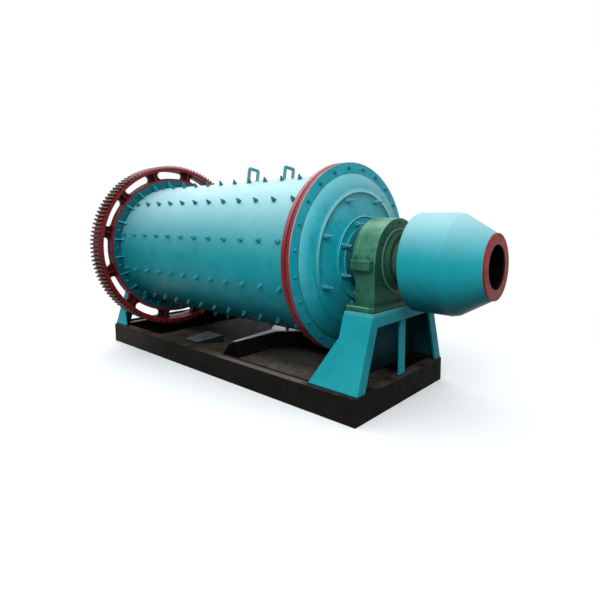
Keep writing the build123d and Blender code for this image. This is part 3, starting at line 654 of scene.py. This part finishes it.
flangeBolt = {
    "count": 24, "radius": 0.822, "seed": 4,
    "rings": {
        "feed_flange_bolts": {"first": 7.5, "faces": ((1.066, 1), (0.971, -1))},
        "gear_flange_bolts": {"first": 0.0, "faces": ((-1.950, 1), (-2.063, -1))},
    },
    "shape": [
        (-0.003, 0.016, 0), (0.002, 0.016, 0), (0.0025, 0.0130, 1), (0.0150, 0.0130, 1), (0.0170, 0.0075, 0),
        (0.022, 0.0070, 0),
    ],
}
shape = fastenerShape(flangeBolt["shape"])
randomTurns = np.random.default_rng(flangeBolt["seed"]).uniform(0, turn / 6, flangeBolt["count"])
for name, ring in flangeBolt["rings"].items():
    angles, bolts = evenAngles(ring["first"], flangeBolt["count"]), []
    for x, direction in ring["faces"]:
        bolts += endwiseCopies(shape, x, flangeBolt["radius"], angles, direction, randomTurns)
    buildPiece(name, bolts, "drum", materials["nut"])

coverStud = {
    "count": 8, "first": 22.5,
    "rings": ((1.130, 0.562, 1), (1.166, 0.340, 1), (-2.089, 0.562, -1)),  # x, radius, direction
    "shape": [
        (-0.004, 0.028, 0), (0.005, 0.028, 0), (0.006, 0.0235, 1), (0.036, 0.0235, 1), (0.040, 0.0125, 0),
        (0.086, 0.0100, 0), (0.097, 0.004, 0),
    ],
}
shape = fastenerShape(coverStud["shape"])
angles, studs = evenAngles(coverStud["first"], coverStud["count"]), []
for x, radius, direction in coverStud["rings"]:
    studs += endwiseCopies(shape, x, radius, angles, direction, np.radians(angles))
buildPiece("cover_studs", studs, "drum", materials["stud"])
print("bolts set,", len(linerBolts), "on the shell")


# bearing caps and housings with rounded casting edges; the spans are from x to x

bearings = {
    "feed": {
        "cap": (1.306, 1.543), "body": (1.348, 1.543), "ears": (1.341, 1.528), "foot": (1.313, 1.591),
        "outerFace": 1.543, "outward": 1.0,
    },
    "gear": {
        "cap": (-2.318, -2.143), "body": (-2.318, -2.143), "ears": (-2.283, -2.158), "foot": (-2.318, -2.143),
        "outerFace": -2.318, "outward": -1.0,
    },
}
bearingSize = {
    "bore": 0.2151, "radius": 0.370, "edge": 0.010, "boreEdge": 0.002, "half": 0.376, "bodyEdge": 0.007,
    "bodySink": 0.010, "lipOverlap": 0.030, "lipEdge": 0.006, "split": 0.001, "arcSteps": 49, "capSteps": 72,
    "earHalf": 0.437, "earTop": 1.269, "earLow": 1.180, "earRoot": 0.030, "earCorner": 0.006, "earEdge": 0.005,
    "footHalf": 0.456, "footTop": 0.886, "footLow": 0.842, "footCorner": 0.008,
    "groove": {"middle": 0.050, "walls": (0.016, 0.010, -0.006, -0.012), "depth": 0.007, "corner": 0.004},
}


def rectangle(uLow, uHigh, vLow, vHigh, radius):
    # counter-clockwise outline with round corners
    return roundedCorners([(u, v, radius) for u, v in ((uLow, vLow), (uHigh, vLow), (uHigh, vHigh), (uLow, vHigh))])


def capShape(low, high):
    # section (x, r) carried over the upper half turn; a shallow groove near its low end leaves a rim there
    s, groove = bearingSize, bearingSize["groove"]
    middle, bottom = low + groove["middle"], s["radius"] - groove["depth"]
    walls = zip(groove["walls"], (s["radius"], bottom, bottom, s["radius"]))
    section = [(low, s["bore"], s["boreEdge"]), (high, s["bore"], s["boreEdge"]), (high, s["radius"], s["edge"])]
    section += [(middle + apart, radius, groove["corner"]) for apart, radius in walls]
    section += [(low, s["radius"], s["edge"])]
    return turnedShape(roundedCorners(section), s["capSteps"], span=(0, 180))


for side, spans in bearings.items():
    s = bearingSize
    capParts, baseParts = [capShape(*spans["cap"])], []
    for sign in (-1, 1):
        y = sorted((sign * (s["radius"] - s["earRoot"]), sign * s["earHalf"]))
        upper = rectangle(*y, axisHeight + s["split"], s["earTop"], s["earCorner"])
        lower = rectangle(*y, s["earLow"], axisHeight - s["split"], s["earCorner"])
        capParts.append(pushedShape(upper, *spans["ears"], s["earEdge"]))
        baseParts.append(pushedShape(lower, *spans["ears"], s["earEdge"]))
    # body: a block from the foot up to the axis, less the bore's lower half circle
    arc = np.radians(np.linspace(0, 180, s["arcSteps"]))
    bore = np.stack([s["bore"] * np.cos(arc), axisHeight - s["bore"] * np.sin(arc)], -1)
    foot = s["footLow"] + s["bodySink"]
    block = [(-s["half"], foot), (s["half"], foot), (s["half"], axisHeight)]
    block = np.concatenate([block, bore, [(-s["half"], axisHeight)]])
    baseParts.append(pushedShape(block, *spans["body"], s["bodyEdge"]))
    if spans["cap"][0] < spans["body"][0]:
        # the half ring that stands out of the body under the cap's rim
        ring = np.stack([s["radius"] * np.cos(arc[::-1]), axisHeight - s["radius"] * np.sin(arc[::-1])], -1)
        lip = (spans["cap"][0], spans["body"][0] + s["lipOverlap"])
        baseParts.append(pushedShape(np.concatenate([ring, bore]), *lip, s["lipEdge"]))
    plate = rectangle(*spans["foot"], -s["footHalf"], s["footHalf"], s["footCorner"])
    baseParts.append(pushedShape(plate, s["footLow"], s["footTop"], s["bodyEdge"], axes="xyz"))
    buildPiece(f"{side}_cap_casting", capParts, "frame", materials["cap"],
               replaced=[f"{side}_bearing_cap"])
    buildPiece(f"{side}_housing_casting", baseParts, "frame", materials["housing"],
               replaced=[f"{side}_bearing_base"])

bearingBolt = {
    "face": {"radius": 0.335, "first": 30, "count": 6, "spin": 0.3},
    "rows": {
        "ears": {"side": 0.407, "inset": 0.030, "z": bearingSize["earTop"], "spin": 0.2},
        "foot": {"side": 0.418, "inset": 0.035, "z": bearingSize["footTop"], "spin": 0.5},
    },
    "faceShape": [
        (-0.002, 0.013, 0), (0.002, 0.013, 0), (0.0025, 0.0105, 1), (0.0120, 0.0105, 1), (0.0130, 0.007, 0),
    ],
    "rowShape": [
        (-0.003, 0.024, 0), (0.004, 0.024, 0), (0.005, 0.019, 1), (0.022, 0.019, 1), (0.024, 0.0105, 0),
        (0.040, 0.0095, 0),
    ],
}
faceShape, rowShape = fastenerShape(bearingBolt["faceShape"]), fastenerShape(bearingBolt["rowShape"])
for side, spans in bearings.items():
    face = bearingBolt["face"]
    angles = evenAngles(face["first"], face["count"])
    bolts = endwiseCopies(faceShape, spans["outerFace"], face["radius"], angles, spans["outward"], face["spin"])
    for part, row in bearingBolt["rows"].items():
        rowX = (spans[part][0] + row["inset"], spans[part][1] - row["inset"])
        places = np.array([(x, sign * row["side"], row["z"]) for x in rowX for sign in (-1, 1)])
        bolts += placedCopies(rowShape, places, np.tile([[0, 0, 1.0]], (len(places), 1)), row["spin"])
    buildPiece(f"{side}_bearing_bolts", bolts, "frame", materials["housing"])
print("bearings dressed")


# weld beads round the feed drum's two seams, and the handles with theirs

drumWeld = {"seams": ((2.079, 0.4095), (2.374, 0.256)), "bead": 0.0035, "ripple": 0.1, "pitch": 0.022, "steps": 360}
welds = []
for x, radius in drumWeld["seams"]:
    path = roundAxis(np.full(drumWeld["steps"], x), radius, evenAngles(0, drumWeld["steps"]))[0]
    welds.append(beadShape(path, drumWeld["bead"], closed=True, ripple=drumWeld["ripple"], pitch=drumWeld["pitch"]))
buildPiece("feed_drum_welds", welds, "drum", materials["drum"], smoothAngle=60)

handle = {
    "nodes": {"shell_handle_feed_side": (0.209, -0.020), "shell_handle_gear_side": (-0.203, -0.149)},
    "bar": 0.0175, "sides": 12, "half": 0.0600, "top": 2.1260, "sink": 0.02, "corner": 0.014, "cornerSteps": 7,
    "lean": 8.0, "weld": 0.0200, "bead": 0.0055, "weldSteps": 24,
}
for name, (x, y) in handle["nodes"].items():
    # a round bar bent to an upturned U, turned about its foot so that it leans a little to the rear
    h, shellRadius = handle, linerBolt["radius"]
    lean, feet = math.radians(h["lean"]), (y - h["half"], y + h["half"])
    low = axisHeight + math.sqrt(shellRadius ** 2 - (abs(y) + h["half"]) ** 2) - h["sink"]
    corners = [(feet[0], low, 0), (feet[0], h["top"], h["corner"]), (feet[1], h["top"], h["corner"]),
               (feet[1], low, 0)]
    bent = roundedCorners(corners, h["cornerSteps"])
    across, up = bent[:, 0] - y, bent[:, 1] - low
    path = np.stack([np.full(len(bent), x), y + across * math.cos(lean) + up * math.sin(lean),
                     low + up * math.cos(lean) - across * math.sin(lean)], -1)
    parts = [beadShape(path, h["bar"], sides=h["sides"], ripple=0.0)]
    around = np.linspace(0, turn, h["weldSteps"], endpoint=False)
    for foot in feet:
        weldX, weldY = x + h["weld"] * np.cos(around), foot + h["weld"] * np.sin(around)
        weldZ = axisHeight + np.sqrt(shellRadius ** 2 - weldY ** 2)
        parts.append(beadShape(np.stack([weldX, weldY, weldZ], -1), h["bead"], closed=True, ripple=0.0))
    buildPiece(name.replace("shell", "bent"), parts, "drum", materials["handle"], smoothAngle=60,
               replaced=[name])
print("welds laid, handles bent")


# camera, light and the plain pale stage

cameraSettings = {
    "place": (3.58224, -3.39539, 1.58820),
    "turn": (84.51813, -0.17561, 40.07485),
    "lens": 27.098,
    "shift": (-0.04562, -0.06093),
    "farthest": 200,
}
camera = bpy.data.cameras.new("photo_camera")
cameraObject = bpy.data.objects.new("photo_camera", camera)
bpy.context.scene.collection.objects.link(cameraObject)
cameraObject.location = cameraSettings["place"]
cameraObject.rotation_euler = Euler([math.radians(v) for v in cameraSettings["turn"]])
camera.lens = cameraSettings["lens"]
camera.shift_x, camera.shift_y = cameraSettings["shift"]
camera.clip_end = cameraSettings["farthest"]
bpy.context.scene.camera = cameraObject
bpy.context.scene.view_settings.view_transform = "Standard"

lampSettings = {
    "sheen": {"place": (-5.0, 0.4, 6.6), "aim": (0.0, 0.0, 1.6), "size": (7.0, 6.5), "power": 270},
    "key": {"place": (4.0, -5.5, 5.0), "aim": (0.2, 0.0, 1.0), "size": (4.0, 3.0), "power": 330},
}
for name, lamp in lampSettings.items():
    light = bpy.data.lights.new(name, "AREA")
    light.shape, light.size, light.size_y, light.energy = "RECTANGLE", *lamp["size"], lamp["power"]
    lightObject = bpy.data.objects.new(name, light)
    bpy.context.scene.collection.objects.link(lightObject)
    back = unit(np.array(lamp["place"]) - np.array(lamp["aim"]))
    right = unit(np.cross((0, 0, 1), back))
    lightObject.matrix_world = [[*right, 0], [*np.cross(back, right), 0], [*back, 0], [*lamp["place"], 1]]


def backdropRays(tree):
    # the largest of three readings: 1 for camera, glossy and transmission rays, 0 for those that only carry light
    rays = addNode(tree, "ShaderNodeLightPath").outputs
    seen = rays["Is Camera Ray"]
    for kind in ("Is Glossy Ray", "Is Transmission Ray"):
        seen = addNode(tree, "ShaderNodeMath", {0: seen, 1: rays[kind]}, operation="MAXIMUM").outputs[0]
    return seen


# sky: white where it is seen; as a light, horizon is its strength from the level and zenith from straight above
skySettings = {"horizon": 0.50, "zenith": 1.30, "fill": "#EEF4F7", "seen": "#FFFFFF"}
world = bpy.data.worlds.new("studio")
bpy.context.scene.world = world
world.use_nodes = True
tree = world.node_tree
tree.nodes.clear()
direction = addNode(tree, "ShaderNodeTexCoord").outputs["Generated"]
height = addNode(tree, "ShaderNodeSeparateXYZ", {0: direction}).outputs[2]
strength = {"Value": height, "To Min": skySettings["horizon"], "To Max": skySettings["zenith"]}
strength = addNode(tree, "ShaderNodeMapRange", strength).outputs["Result"]
fill = addNode(tree, "ShaderNodeBackground", {"Color": skySettings["fill"], "Strength": strength}).outputs[0]
white = addNode(tree, "ShaderNodeBackground", {"Color": skySettings["seen"], "Strength": 1.0}).outputs[0]
mixed = addNode(tree, "ShaderNodeMixShader", {0: backdropRays(tree), 1: fill, 2: white}).outputs[0]
addNode(tree, "ShaderNodeOutputWorld", {0: mixed})

# floor: pale close to the mill, where it shows the shadow, turning to a white glow from near to far metres away, and
# grey for the rays that only carry light. The ground between the beams under the gear (pit: low and high x, low and
# high y) is nearly black, as in the photo
# the pit's near black ground is a painted shadow under the mill
floorSettings = {
    "half": 30.0, "near": 2.6, "far": 4.6, "pit": ((-2.25, -1.33), (-0.66, 0.66)),
    "ground": "#F4F4F4", "pitPaintedShadow": "#141312", "asLight": "#474747", "glow": "#FFFFFF",
}
half = floorSettings["half"]
mesh = bpy.data.meshes.new("floor")
mesh.from_pydata([(-half, -half, 0), (half, -half, 0), (half, half, 0), (-half, half, 0)], [], [(0, 1, 2, 3)])
floor = bpy.data.objects.new("floor", mesh)
bpy.context.scene.collection.objects.link(floor)
floorMaterial = bpy.data.materials.new("paleFloor")
floorMaterial.use_nodes = True
tree = floorMaterial.node_tree
tree.nodes.clear()
place = addNode(tree, "ShaderNodeTexCoord").outputs["Object"]
distance = addNode(tree, "ShaderNodeVectorMath", {0: place}, operation="LENGTH").outputs["Value"]
far = {"Value": distance, "From Min": floorSettings["near"], "From Max": floorSettings["far"]}
far = addNode(tree, "ShaderNodeMapRange", far, interpolation_type="SMOOTHSTEP").outputs["Result"]
insideShade = 1.0  # becomes the smallest distance to the pit's four sides, then 1 where that is above 0
for axis, (low, high) in enumerate(floorSettings["pit"]):
    reading = addNode(tree, "ShaderNodeSeparateXYZ", {0: place}).outputs[axis]
    for weight, limit in ((1.0, -low), (-1.0, high)):
        terms = {0: reading, 1: weight, 2: limit}
        apart = addNode(tree, "ShaderNodeMath", terms, operation="MULTIPLY_ADD").outputs[0]
        insideShade = addNode(tree, "ShaderNodeMath", {0: insideShade, 1: apart}, operation="MINIMUM").outputs[0]
insideShade = addNode(tree, "ShaderNodeMath", {0: insideShade, 1: 0.0}, operation="GREATER_THAN").outputs[0]
ground = {0: insideShade, 6: floorSettings["ground"], 7: floorSettings["pitPaintedShadow"]}
ground = addNode(tree, "ShaderNodeMix", ground, data_type="RGBA").outputs[2]
pale = addNode(tree, "ShaderNodeBsdfDiffuse", {"Color": ground}).outputs[0]
dim = addNode(tree, "ShaderNodeBsdfDiffuse", {"Color": floorSettings["asLight"]}).outputs[0]
glow = addNode(tree, "ShaderNodeEmission", {"Color": floorSettings["glow"], "Strength": 1.0}).outputs[0]
shown = addNode(tree, "ShaderNodeMixShader", {0: far, 1: pale, 2: glow}).outputs[0]
both = addNode(tree, "ShaderNodeMixShader", {0: backdropRays(tree), 1: dim, 2: shown}).outputs[0]
addNode(tree, "ShaderNodeOutputMaterial", {0: both})
mesh.materials.append(floorMaterial)
print("camera, lights and floor ready")
